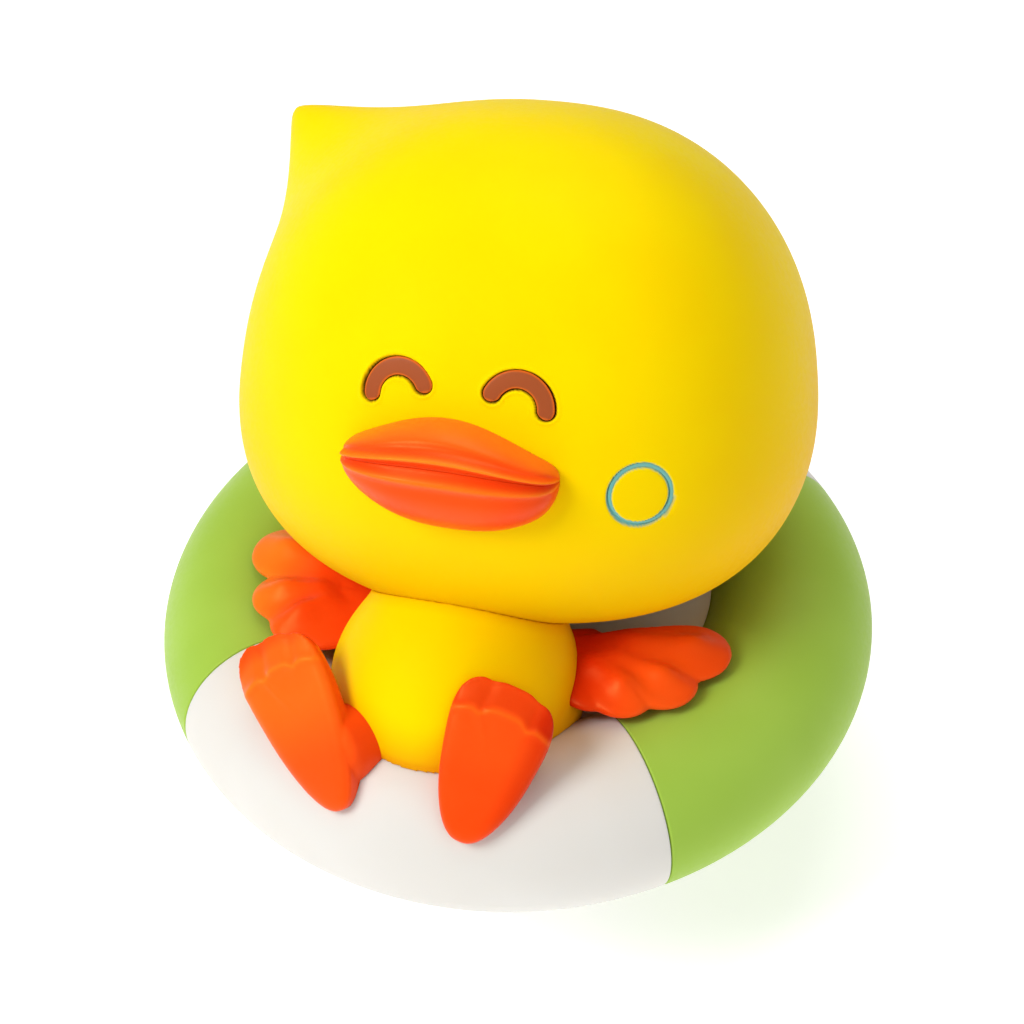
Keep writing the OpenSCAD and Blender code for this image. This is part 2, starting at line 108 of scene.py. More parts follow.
FACE_AZ = -3.5
EYE_AZ = {1: 14.2, -1: -13}
EYE_EL = 7
EYE_R = 6.6
EYE_W = 4.9
EYE_LEAN = {1: -15, -1: 21}
EYE_DROP = 2.6
EYE_END = 14
EYE_DEPTH = 1.3
CHEEK_AZ = 38.6
CHEEK_EL = -12
CHEEK_R = 7.2
CHEEK_W = 1.3
MARK_DEPTH = 0.7
BILL_EL = -6.9
BILL_HALF = 22.8
BILL_OUT = 12

BALL_C = np.array([2, -43.9, RING_Z + 18.7])
BALL_R = 30.8
BODY_CORE = BALL_C + [0, -6, 6]
NECK_FLARE = 0.8

EYE_GAP = 0.42
MARK_GAP = 0.12
PARTING_GAP = 0.06
BODY_GAP = 0.05
WING_GAP = 0.25
FOOT_GAP = 0.2
WING_LIFT = 3.4
SKIN_INSET = 0.02
VOXEL = 0.42
RELAX_ROUNDS = 4


# ---------- meshes ----------
def points_of(obj):
    """An object's points, in millimetres."""
    points = np.empty(len(obj.data.vertices) * 3)
    obj.data.vertices.foreach_get("co", points)
    return points.reshape(-1, 3) / MM


def paint(obj, key, values):
    """Writes a float attribute, with a value from 0 to 1 for each point."""
    layer = obj.data.attributes.new(key, "FLOAT", "POINT")
    layer.data.foreach_set("value", np.clip(values, 0, 1).astype(np.float32))


def make_object(name, points, faces, material, values=None):
    """A smooth mesh object from points in millimetres, with a float attribute for each of the values."""
    mesh = bpy.data.meshes.new(name)
    mesh.from_pydata((np.asarray(points) * MM).tolist(), [], faces)
    mesh.materials.append(material)
    mesh.polygons.foreach_set("use_smooth", [True] * len(mesh.polygons))
    mesh.update()
    obj = bpy.data.objects.new(name, mesh)
    bpy.context.collection.objects.link(obj)
    for key, value in (values or {}).items():
        paint(obj, key, value)
    return obj


def wrapped_quads(rows, columns, closed_rows=False):
    """Quads between rows of points, where each row is a closed loop."""
    j, i = np.meshgrid(np.arange(rows if closed_rows else rows - 1), np.arange(columns), indexing="ij")
    first, second, k = j * columns, (j + 1) % rows * columns, (i + 1) % columns
    return np.stack([first + i, first + k, second + k, second + i], -1).reshape(-1, 4)


def faces_in(points, quads):
    """True if the quads of a closed skin point into it."""
    a, b, c, d = (points[quads[:, k]] - points.mean(0) for k in range(4))
    return (np.cross(b, c) + np.cross(c, d)).ravel() @ a.ravel() < 0


def globe(name, rings, first, last, material, values=None):
    """A closed skin through rows of points, with a point before the first and after the last row."""
    rows, columns = rings.shape[:2]
    points = np.concatenate([rings.reshape(-1, 3), [first], [last]])
    quads = wrapped_quads(rows, columns)
    around = np.arange(columns)
    after, end_row = (around + 1) % columns, (rows - 1) * columns
    start = np.stack([np.full(columns, rows * columns), after, around], -1)
    end = np.stack([np.full(columns, rows * columns + 1), end_row + around, end_row + after], -1)
    step = -1 if faces_in(points, quads) else 1
    faces = [face for part in (quads, start, end) for face in part[:, ::step].tolist()]
    return make_object(name, points, faces, material, values)


def settle_modifiers(obj):
    """Replaces an object's mesh by its evaluated one."""
    graph = bpy.context.evaluated_depsgraph_get()
    mesh = bpy.data.meshes.new_from_object(obj.evaluated_get(graph))
    obj.modifiers.clear()
    old, obj.data = obj.data, mesh
    bpy.data.meshes.remove(old)
    obj.data.polygons.foreach_set("use_smooth", [True] * len(obj.data.polygons))
    return obj


def moulded(parts, name):
    """Melts overlapping closed skins into one moulded skin with soft inner corners."""
    main = parts[0]
    with bpy.context.temp_override(active_object=main, object=main, selected_editable_objects=parts):
        bpy.ops.object.join()
    main.name = main.data.name = name
    remesh = main.modifiers.new("remesh", "REMESH")
    remesh.mode = "VOXEL"
    remesh.voxel_size = VOXEL * MM
    settle_modifiers(main)
    relax = main.modifiers.new("relax", "SMOOTH")
    relax.factor = 0.5
    relax.iterations = RELAX_ROUNDS
    return settle_modifiers(main)


# ---------- materials ----------
def ramp_mix(tree, factor, low, high):
    """A colour mix between two colours, driven by a factor socket."""
    mix = tree.nodes.new("ShaderNodeMix")
    mix.data_type = "RGBA"
    for socket, colour in ((mix.inputs[6], low), (mix.inputs[7], high)):
        if isinstance(colour, tuple):
            socket.default_value = (*colour, 1)
        else:
            tree.links.new(colour, socket)
    tree.links.new(factor, mix.inputs[0])
    return mix.outputs[2]


def noise(tree, scale, detail=3.0, stretch=None):
    """A noise value in object space, scale in features per metre."""
    place = tree.nodes.new("ShaderNodeTexCoord")
    mapping = tree.nodes.new("ShaderNodeMapping")
    mapping.inputs["Scale"].default_value = stretch or (1, 1, 1)
    node = tree.nodes.new("ShaderNodeTexNoise")
    node.inputs["Scale"].default_value = scale
    node.inputs["Detail"].default_value = detail
    tree.links.new(place.outputs["Object"], mapping.inputs["Vector"])
    tree.links.new(mapping.outputs["Vector"], node.inputs["Vector"])
    return node.outputs["Fac"]


def span(tree, value, low, high, to_low, to_high):
    """A value carried from one range to another, held at its ends."""
    node = tree.nodes.new("ShaderNodeMapRange")
    node.interpolation_type = "SMOOTHSTEP"
    for name, number in (("From Min", low), ("From Max", high), ("To Min", to_low), ("To Max", to_high)):
        node.inputs[name].default_value = number
    tree.links.new(value, node.inputs["Value"])
    return node.outputs["Result"]


def attribute(tree, name):
    """A float attribute of the mesh."""
    node = tree.nodes.new("ShaderNodeAttribute")
    node.attribute_name = name
    return node.outputs["Fac"]


def finish_of(name, tone, deep, rough, grain=700, grain_depth=0.02, blotch=28, stretch=None,
              metallic=0.0, gloss=0.35, tint=(1, 1, 1), soft=0.0, soft_radius=(1, 0.8, 0.6), paints=()):
    """A moulded or machined finish. tone and deep are the two ends of its slow colour change, grain and
    blotch are features per metre, and paints are (attribute, colour) pairs laid over the colour: the
    thing's own markings, and painted shade and painted highlights."""
    material = bpy.data.materials.new(name)
    material.use_nodes = True
    tree = material.node_tree
    shader = tree.nodes["Principled BSDF"]
    slow = span(tree, noise(tree, blotch, 2.0), 0.35, 0.65, 0, 1)
    fine = noise(tree, grain, 4.0, stretch)
    colour = ramp_mix(tree, slow, tone, deep)
    for key, coat in paints:
        colour = ramp_mix(tree, attribute(tree, key), colour, coat)
    tree.links.new(colour, shader.inputs["Base Color"])
    tree.links.new(span(tree, fine, 0.3, 0.7, rough - 0.05, rough + 0.06), shader.inputs["Roughness"])
    bump = tree.nodes.new("ShaderNodeBump")
    bump.inputs["Strength"].default_value = 0.6
    bump.inputs["Distance"].default_value = grain_depth * MM
    tree.links.new(fine, bump.inputs["Height"])
    tree.links.new(bump.outputs["Normal"], shader.inputs["Normal"])
    shader.inputs["Metallic"].default_value = metallic
    shader.inputs["Specular IOR Level"].default_value = gloss
    shader.inputs["Specular Tint"].default_value = (*tint, 1)
    shader.inputs["Subsurface Weight"].default_value = soft
    shader.inputs["Subsurface Radius"].default_value = soft_radius
    shader.inputs["Subsurface Scale"].default_value = 5 * MM
    return material


EYE_PAINT = (0.34, 0.075, 0.02)
EYE_RIM = (0.80, 0.16, 0.016)
EYE_SHADE = (0.10, 0.022, 0.006)
MARK_PAINT = (0.16, 0.45, 0.42)
# Over the yellow vinyl, deep lays painted shade in a darker orange-yellow. eye lays painted shade in the
# eye recesses, which also gives the eyes their dark outline. mark is the cheek mark's own blue.
YELLOW = finish_of("yellow_vinyl", (0.95, 0.70, 0.0), (0.94, 0.665, 0.0), 0.5, gloss=0.07,
                   tint=(1, 0.85, 0.1), soft=0.15, soft_radius=(1, 0.45, 0.05), grain_depth=0.012,
                   paints=(("deep", (0.84, 0.36, 0.0)), ("eye", EYE_SHADE), ("mark", MARK_PAINT)))
# Over the orange vinyl, deep lays painted shade in a darker red, and pale lays mostly painted light and
# painted highlights in a lighter orange.
ORANGE = finish_of("orange_vinyl", (0.97, 0.085, 0.006), (0.95, 0.065, 0.004), 0.35, gloss=0.38,
                   tint=(1, 0.45, 0.12), soft=0.12, soft_radius=(1, 0.25, 0.05), grain_depth=0.005,
                   paints=(("deep", (0.60, 0.015, 0.001)), ("pale", (0.97, 0.23, 0.012))))
BROWN = finish_of("brown_paint", EYE_PAINT, (0.38, 0.09, 0.026), 0.42, gloss=0.12, grain=1600,
                  paints=(("rim", EYE_RIM),))
BLUE = finish_of("blue_paint", MARK_PAINT, (0.13, 0.40, 0.38), 0.4, grain=1600, grain_depth=0.015)
WHITE = finish_of("white_vinyl", (0.75, 0.735, 0.70), (0.73, 0.71, 0.67), 0.42, gloss=0.1, soft=0.1,
                  grain_depth=0.012)
GREEN = finish_of("green_vinyl", (0.37, 0.575, 0.078), (0.345, 0.545, 0.066), 0.42, gloss=0.1, soft=0.1,
                  soft_radius=(0.7, 1, 0.3), grain_depth=0.012)
WHITE_PLASTIC = finish_of("white_plastic", (0.73, 0.69, 0.61), (0.68, 0.63, 0.55), 0.42, grain=1100)
GREY_PLASTIC = finish_of("grey_plastic", (0.36, 0.38, 0.40), (0.31, 0.33, 0.35), 0.45, grain=1100)
RUBBER = finish_of("seal_rubber", (0.025, 0.025, 0.027), (0.04, 0.04, 0.042), 0.62, grain=1500,
                   grain_depth=0.03)
STEEL = finish_of("steel", (0.56, 0.56, 0.57), (0.47, 0.47, 0.48), 0.3, grain=900, stretch=(1, 1, 0.08),
                  metallic=1.0)
IRON = finish_of("ballast", (0.16, 0.17, 0.18), (0.10, 0.105, 0.11), 0.55, grain=500, grain_depth=0.08,
                 metallic=0.6)


# ---------- head ----------
def head_shape(d):
    """The head's surface about its own middle, in its own turned frame, for local directions d."""
    q = d / (np.abs(d / HEAD_HALF) ** HEAD_POWER).sum(-1, keepdims=True) ** (1 / HEAD_POWER)
    k = CHEEK_FULLNESS * q[..., 2] / HEAD_HALF[2]
    q = np.stack([q[..., 0] * (1 - k), q[..., 1] * (1 - k / 2), q[..., 2]], -1)
    away = np.degrees(np.arccos(np.clip(d @ TUFT, -1, 1)))
    rise = TUFT_H * np.exp(-((away / TUFT_SPREAD) ** 1.35))
    return (q + TUFT * rise[..., None]) @ HEAD_TURN.T


def latitudes(pole, angles, count):
    """Directions on circles about a pole: a row for each angle, count directions round each."""
    x = unit(np.cross([0.3, 0.2, 1], pole))
    y = np.cross(pole, x)
    b = np.linspace(0, 2 * np.pi, count, endpoint=False)
    a = np.radians(np.asarray(angles))[:, None, None]
    circle = x * np.cos(b)[:, None] + y * np.sin(b)[:, None]
    return pole * np.cos(a) + circle[None] * np.sin(a)


def head_middle():
    """Middle of the head, from the CAD head's box, lowered by what that head's flat facets lose."""
    low, high = cad_box("head_shell")
    shape = head_shape(latitudes(TUFT, np.linspace(0, 180, 90), 180)).reshape(-1, 3)
    return (low + high) / 2 - (shape.min(0) + shape.max(0)) / 2 - [0, 0, FACET_LOSS]


HEAD_C = head_middle()


def head_point(d):
    """Point of the head's surface for a local direction."""
    return HEAD_C + head_shape(d)


def face_point(az, el):
    """Point of the head's surface at az and el from the middle of the face."""
    return head_point(heading(FACE_AZ + np.asarray(az, float), np.asarray(el, float)))


def face_out(az, el):
    """Outward normal of the head at a place on the face."""
    across = face_point(az + 1, el) - face_point(az - 1, el)
    upward = face_point(az, el + 1) - face_point(az, el - 1)
    return unit(np.cross(across, upward))


class Spot:
    """A flat frame that touches the head at a place on the face."""

    def __init__(self, az, el, lean=0.0, drop=0.0):
        self.z = face_out(az, el)
        x = unit(np.cross([0, 0, 1], self.z))
        y = np.cross(self.z, x)
        c, s = np.cos(np.radians(lean)), np.sin(np.radians(lean))
        self.x = x * c + y * s
        self.y = y * c - x * s
        self.o = face_point(az, el) + self.y * drop

    def local(self, points):
        """Flat coordinates of points near the head's surface."""
        d = points - self.o
        return d @ self.x, d @ self.y

    def on_head(self, x, y, height):
        """Points on the head under flat coordinates, raised by height along the frame's normal."""
        x, y, height = np.broadcast_arrays(x, y, height)
        flat = self.o + x[..., None] * self.x + y[..., None] * self.y
        d = unit((flat - HEAD_C) @ HEAD_TURN)
        return head_point(d) + height[..., None] * self.z


def from_arc(x, y):
    """Distance from the middle line of an eye's arc, which is open below."""
    turn = np.degrees(np.arctan2(y, np.abs(x)))
    end_x, end_y = EYE_R * np.cos(np.radians(EYE_END)), EYE_R * np.sin(np.radians(EYE_END))
    from_end = np.hypot(np.abs(x) - end_x, y - end_y)
    return np.where(turn > EYE_END, np.abs(np.hypot(x, y) - EYE_R), from_end)


EYES = {side: Spot(EYE_AZ[side], EYE_EL, EYE_LEAN[side], -EYE_DROP) for side in (1, -1)}
CHEEK = Spot(CHEEK_AZ, CHEEK_EL)
FAR = 99


def make_head():
    """The head's skin, with its rows closest together over the face, where the recesses are."""
    near = np.arange(0.3, 36, 0.3)
    far = 36 + 144 * (np.arange(1, 84) / 84) ** 1.15
    pole = unit(heading(FACE_AZ + 11, 0))
    rings = head_point(latitudes(pole, np.concatenate([near, far]), 480))
    points = np.concatenate([rings.reshape(-1, 3), [head_point(pole)], [head_point(-pole)]])
    facing = points @ HEAD_TURN[:, 1] < HEAD_C @ HEAD_TURN[:, 1]
    eye = np.zeros(len(points))
    for spot in EYES.values():
        x, y = spot.local(points)
        away = np.where(facing, from_arc(x, y) - EYE_W / 2, FAR)
        sunk = 1 - smooth(-0.35, 0.15, away)
        lip = 0.22 * bell(away, 0.35, 0.4)
        points = points - spot.z * (EYE_DEPTH * sunk - lip)[:, None]
        # Each eye's recess is marked for painted shade, which also gives the eye its dark outline.
        eye = np.maximum(eye, 1 - smooth(-0.25, 0.1, away))
    x, y = CHEEK.local(points)
    away = np.where(facing, np.abs(np.hypot(x, y) - CHEEK_R) - CHEEK_W / 2, FAR)
    points = points - CHEEK.z * (MARK_DEPTH * (1 - smooth(-0.3, 0.12, away)))[:, None]
    mark = 1 - smooth(-0.2, 0.15, away)
    # deep is painted shade: darker orange-yellow under the head and on the figure's left side, away from
    # the key light.
    under = smooth(-0.35, 0.6, -(points - HEAD_C)[:, 2] / HEAD_HALF[2])
    rightward = smooth(0.35, 1.0, (points - HEAD_C)[:, 0] / HEAD_HALF[0])
    deep = 0.55 * under + 0.2 * rightward
    values = {"eye": eye, "mark": mark, "deep": deep}
    return globe("head_skin", points[:-2].reshape(rings.shape), points[-2], points[-1], YELLOW, values)


def make_eye(side, name):
    """A soft domed stroke that fills an eye's recess, in rows along its arc."""
    spot = EYES[side]
    half = EYE_W / 2 - EYE_GAP
    steps = np.linspace(0, 1, 22)
    cap = np.degrees(half / EYE_R)
    ease = cap * 0.98 * (1 - np.sin(np.pi / 2 * steps))
    turn = np.concatenate([EYE_END - ease, np.linspace(EYE_END, 180 - EYE_END, 72)[1:-1],
                           180 - EYE_END + ease[::-1]])
    past = np.clip(np.maximum(EYE_END - turn, turn - 180 + EYE_END) / cap, 0, 1)
    width = half * np.sqrt(np.clip(1 - past ** 2, 0.0004, 1))
    b = np.linspace(0, 2 * np.pi, 40, endpoint=False)
    across = np.sign(np.cos(b)) * np.abs(np.cos(b)) ** 0.45
    height = np.sign(np.sin(b)) * np.abs(np.sin(b)) ** 0.75
    a = np.radians(turn)[:, None]
    r = EYE_R + width[:, None] * across
    full = np.clip(width / half, 0, 1)[:, None] ** 0.5
    rise = -0.75 + 0.42 * height * full
    rings = spot.on_head(r * np.cos(a), r * np.sin(a), rise)
    rim = np.clip(smooth(0.72, 0.97, np.abs(across)) + smooth(0.6, 1, past)[:, None], 0, 1)
    rim = rim * (height > -0.2)
    ends = rings[0].mean(0), rings[-1].mean(0)
    return globe(name, rings, *ends, BROWN, {"rim": np.append(rim.ravel(), [1, 1])})


def make_mark():
    """The thin inlay on the cheek, a round bead bent into a circle."""
    a = np.linspace(0, 2 * np.pi, 200, endpoint=False)[:, None]
    b = np.linspace(0, 2 * np.pi, 20, endpoint=False)[None]
    r = CHEEK_R + (CHEEK_W / 2 - MARK_GAP) * np.cos(b)
    points = CHEEK.on_head(r * np.cos(a), r * np.sin(a), -0.52 + 0.3 * np.sin(b)).reshape(-1, 3)
    quads = wrapped_quads(a.size, b.size, closed_rows=True)
    step = -1 if faces_in(points, quads) else 1
    return make_object("cheek_inlay", points, quads[:, ::step].tolist(), BLUE)


# ---------- bill ----------
def bill_edge(u, upper):
    """Angle from the parting line to the bill's outline."""
    end = np.sqrt(np.clip(1 - np.abs(u) ** 18, 0, 1))
    if upper > 0:
        return (5.1 * np.clip(1 - np.abs(u + 0.04) ** 2, 0, 1) ** 1.7 + 3.2) * end
    return (11.4 * np.clip(1 - np.abs(u - 0.06) ** 2.3, 0, 1) ** 0.9 + 3.4) * end


def bill_swell(u, v, upper):
    """How far the bill stands out from the head: a dome with a rolled lip next to the parting line."""
    along = np.clip(1 - np.abs(u) ** 2.6, 0, 1) ** 0.5
    tip = np.sqrt(np.clip(1 - np.abs(u) ** 18, 0, 1))
    dome = np.clip(1 - v ** 2.2, 0, 1) ** 0.55
    swell = (2.4 + (BILL_OUT - 2.6) * along) * dome * tip
    if upper > 0:
        roll = 1.5 * bell(v, 0.24, 0.085) - 0.9 * bell(v, 0.45, 0.13)
        groove = 1.2 * bell(v, 0, 0.13)
    else:
        roll = 0.7 * bell(v, 0.17, 0.05) - 0.3 * bell(v, 0.29, 0.1)
        groove = 1.2 * bell(v, 0, 0.085)
    swell = swell + roll * along ** 0.5 * tip - groove * tip * (0.35 + 0.65 * along)
    return np.maximum(swell, 0.15)


def make_bill(upper, name):
    """One half of the bill. Each row runs from the parting line to the outline and back behind."""
    u = 0.998 * np.sin(np.linspace(-0.5, 0.5, 121) * np.pi * 0.985)
    v = np.concatenate([[0, 0.012, 0.03, 0.05, 0.075], np.linspace(0.1, 0.9, 30),
                        [0.93, 0.96, 0.98, 0.993, 1]])
    uu, vv = np.meshgrid(u, v, indexing="ij")
    el = BILL_EL - 2 * uu ** 2 - 0.5 * uu + upper * (PARTING_GAP + vv * bill_edge(uu, upper))
    az = BILL_HALF * uu
    surface, normal = face_point(az, el), face_out(az, el)
    front = surface + normal * bill_swell(uu, vv, upper)[..., None]
    back = surface + normal * 0.1
    rings = np.concatenate([front, back[:, ::-1]], 1)
    # pale lays painted highlights along the rolled lips and painted light over the top of the upper half,
    # and makes the lower half paler towards its lower outline. deep lays painted shade in the parting
    # groove, and on the lower half towards the figure's left end.
    if upper > 0:
        pale = 0.9 * bell(vv, 0.24, 0.06) + 0.6 * smooth(0.4, 0.9, vv)
        deep = 0.35 * bell(vv, 0, 0.1)
    else:
        pale = 0.6 * bell(vv, 0.16, 0.05) + 0.35 * smooth(0.75, 1, vv)
        deep = 0.35 * bell(vv, 0, 0.08) + 0.25 * smooth(0.3, 0.9, uu)

    def front_and_back(value):
        """The same values in front and behind, and none at the two ends."""
        return np.append(np.concatenate([value, value[:, ::-1]], 1), [0, 0])

    values = {"pale": front_and_back(pale), "deep": front_and_back(deep)}
    return globe(name, rings, rings[0].mean(0), rings[-1].mean(0), ORANGE, values)


# ---------- body ----------
def head_room(p):
    """About how far points are outside the head, leaving its tuft aside."""
    q = (p - HEAD_C) @ HEAD_TURN
    k = CHEEK_FULLNESS * q[..., 2] / HEAD_HALF[2]
    s = np.stack([q[..., 0] / (1 - k), q[..., 1] / (1 - k / 2), q[..., 2]], -1) / HEAD_HALF
    return ((np.abs(s) ** HEAD_POWER).sum(-1) ** (1 / HEAD_POWER) - 1) * HEAD_HALF[2]


def ring_room(p):
    """How far points are outside the ring."""
    return np.hypot(np.hypot(p[..., 0], p[..., 1]) - RING_R, p[..., 2] - RING_Z) - TUBE_R


def room(p):
    """How far points are from the nearest of ring, head and deck."""
    return np.minimum(np.minimum(ring_room(p), head_room(p)), p[..., 2] - DECK_TOP)


def reach(d, gap):
    """Distance from the body's core to its skin along each direction. The skin is a ball that keeps a gap
    to the ring, head and deck, and flares out where it meets the head."""
    low, high = np.zeros(d.shape[:-1]), np.full(d.shape[:-1], 1.5 * BALL_R)
    for _ in range(18):
        middle = (low + high) / 2
        point = BODY_CORE + d * middle[..., None]
        flare = NECK_FLARE * np.exp(-np.maximum(head_room(point), 0) / 1.7)
        inside = (room(point) > gap) & (np.linalg.norm(point - BALL_C, axis=-1) < BALL_R + flare)
        low, high = np.where(inside, middle, low), np.where(inside, high, middle)
    return low


def make_body():
    """The body's skin, with its poles at the neck and opposite."""
    neck = unit(HEAD_C - BALL_C)
    d = latitudes(neck, np.linspace(0, 180, 182)[1:-1], 240)
    rings = BODY_CORE + d * reach(d, BODY_GAP)[..., None]
    poles = [BODY_CORE + e * reach(e, BODY_GAP) for e in (neck, -neck)]
    # deep is painted shade: darker where the body comes close to the head and ring, on the figure's left
    # side away from the key light, and towards the bottom.
    near = np.minimum(head_room(rings), ring_room(rings))
    sidewise = smooth(-0.1, 1, (rings - BALL_C)[..., 0] / BALL_R)
    low = smooth(0.55, -0.05, (rings - BALL_C)[..., 2] / BALL_R)
    deep = np.clip(0.35 * (1 - smooth(0, 3.5, near)) + 0.5 * sidewise + 0.95 * low, 0, 1)
    return globe("body_skin", rings, *poles, YELLOW, {"deep": np.append(deep, [0, 0])})


def kept_clear(points, gap):
    """Moves points up out of the ring and down out of the head."""
    for _ in range(4):
        radial = np.hypot(points[..., 0], points[..., 1]) - RING_R
        inside = np.abs(radial) < TUBE_R + gap
        top = RING_Z + np.sqrt(np.clip((TUBE_R + gap) ** 2 - radial ** 2, 0, None))
        lift = np.where(inside, np.maximum(top - points[..., 2], 0), 0)
        points = points + lift[..., None] * np.array([0, 0, 1])
    for _ in range(4):
        sunk = np.maximum(gap - head_room(points), 0)
        points = points - sunk[..., None] * np.array([0, 0, 1])
    return points


def move_clear(obj, gap):
    """Moves an object's points out of the ring and head."""
    points = kept_clear(points_of(obj), gap) * MM
    obj.data.vertices.foreach_set("co", points.ravel())
    obj.data.update()


def pillow(name, middle, along, normal, outline, top, bottom, flat, material, count=320, rows=60):
    """A closed pillow over a plane. outline(turn) gives its rim, along and across. top and bottom, of
    (x, y, share), are its heights over and under the plane. flat is how square its rim is, up to 1 for a
    lens."""
    side = np.cross(normal, along)
    turn = np.linspace(0, 2 * np.pi, count, endpoint=False)[None]
    tilt = np.radians(np.linspace(-90, 90, rows + 2)[1:-1])[:, None]
    share = np.abs(np.cos(tilt)) ** flat
    height = np.abs(np.sin(tilt))
    x, y = (value * share for value in outline(turn))
    h = np.where(tilt > 0, top(x, y, share), -bottom(x, y, share)) * height
    rings = middle + x[..., None] * along + y[..., None] * side + h[..., None] * normal
    poles = [middle + normal * float(value) for value in (-bottom(0, 0, 0), top(0, 0, 0))]
    return globe(name, rings, *poles, material)


def tube(name, start, end, radii, material, count=48):
    """A straight stem with round ends from start to end."""
    start, end = np.asarray(start, float), np.asarray(end, float)
    axis = unit(end - start)
    x = unit(np.cross([0.2, 0.1, 1], axis))
    y = np.cross(axis, x)
    b = np.linspace(0, 2 * np.pi, count, endpoint=False)[None, :, None]
    s = np.linspace(0, 1, 26)[1:-1][:, None, None]
    width = (radii[0] + (radii[1] - radii[0]) * s) * np.sqrt(1 - np.abs(2 * s - 1) ** 8)
    rings = start + (end - start) * s + (x * np.cos(b) + y * np.sin(b)) * width
    return globe(name, rings, start, end, material)


# ---------- wings ----------
# The last two entries of each wing are the strengths of painted shade at its root and of painted light
# towards its tips.
WINGS = {
    1: {"pivot": (22.8, -29.7), "lobes": ((17, 33, 9), (-5, 28, 8.3), (-24, 21.7, 7.8)), "fan": 50,
        "root_shade": 1.0, "tip": 0.05},
    -1: {"pivot": (-26.8, -29.2), "lobes": ((19, 27.3, 9.3), (-15, 21.3, 8), (-43, 17.6, 7.9)), "fan": 75,
         "root_shade": 0.2, "tip": 0.9},
}
EDGE_TURN = 23
EDGE_OFF = 5.5


def wing_radius(side, degrees):
    """Radius of a wing about its pivot: three round lobes on a fan with a straight rear edge."""
    a = (degrees + 180) % 360 - 180
    total = np.exp(11 + 12.5 * np.exp(-(((a + 20) / WINGS[side]["fan"]) ** 4)))
    for lobe, far, size in WINGS[side]["lobes"]:
        off = np.sin(np.radians(a - lobe)) * far
        inside = (np.abs(off) < size) & (np.abs(a - lobe) < 90)
        tip = far * np.cos(np.radians(a - lobe)) + np.sqrt(np.clip(size ** 2 - off ** 2, 0, None))
        total = total + np.where(inside, np.exp(tip), 0)
    behind = np.sin(np.radians(np.clip(a - EDGE_TURN, 4, 90)))
    return np.minimum(np.log(total), EDGE_OFF / behind + 6 * smooth(130, 175, a))


def make_wing(side, name):
    """A wing that lies over the ring, on the figure's left for side 1 and its right for side -1."""
    x, y = WINGS[side]["pivot"]
    middle = np.array([x, y, RING_Z + TUBE_R + WING_LIFT])
    along = unit([side, 0, -0.02])
    normal = unit([0.02 * side, 0, 1])

    def outline(turn):
        """The wing's rim, along and across."""
        r = wing_radius(side, np.degrees(turn) * side)
        return r * np.cos(turn), r * np.sin(turn)

    def top(x, y, share):
        """Ridges along the lobes that fade out towards the root, each with two knobs."""
        relief = 0
        for lobe, far, size in WINGS[side]["lobes"]:
            a = np.radians(lobe * side)
            across = y * np.cos(a) - x * np.sin(a)
            out = x * np.cos(a) + y * np.sin(a)
            ridge = bell(across, 0, size * 0.4) * smooth(0.25 * far, 0.8 * far, out)
            knobs = bell(out, far, size * 0.5) + 0.5 * bell(out, 0.55 * far, size * 0.4)
            relief = relief + 1.7 * ridge + 2.0 * bell(across, 0, size * 0.5) * knobs
        return 3.4 - 0.9 * share + relief

    def bottom(x, y, share):
        """A slightly crowned underside."""
        return 2.6 - 0.6 * share

    wing = pillow(name, middle, along, normal, outline, top, bottom, 0.5, ORANGE, rows=56)
    move_clear(wing, WING_GAP)
    moulded([wing], name)
    points = points_of(wing)
    out = side * (points[:, 0] - x)
    # deep lays painted shade over the root and where the wing comes close to the ring; pale lays painted
    # light towards the tips.
    root_shade = WINGS[side]["root_shade"] * (1 - smooth(6, 24, out))
    paint(wing, "deep", root_shade + 0.3 * smooth(2.5, 0, ring_room(points)))
    paint(wing, "pale", WINGS[side]["tip"] * smooth(12, 30, out))
    return wing


# ---------- feet ----------
# The last three entries of each foot are the strengths of painted shade along one long side of the sole,
# of painted light towards the toes on the front, and of painted shade on the toe fronts past the crease.
FEET = {
    1: {"heel": (18.5, -85, 15), "toes": (25.6, -61.2, 41.3), "out": (12, 38), "half": (11.2, 0.17),
        "shift": (0.7, 0.06), "notches": (-5, 6.7), "ankle": 8, "edge": 0.65, "toe_light": 0.0,
        "toe_front_shade": 0.4},
    -1: {"heel": (-12, -86, 15), "toes": (-34.8, -62.6, 41.5), "out": (-18, 38), "half": (10.6, 0.15),
         "shift": (1.4, 0.1), "notches": (-2.5, 6.5), "ankle": 10.5, "edge": 0.0, "toe_light": 0.4,
         "toe_front_shade": 0.1},
}


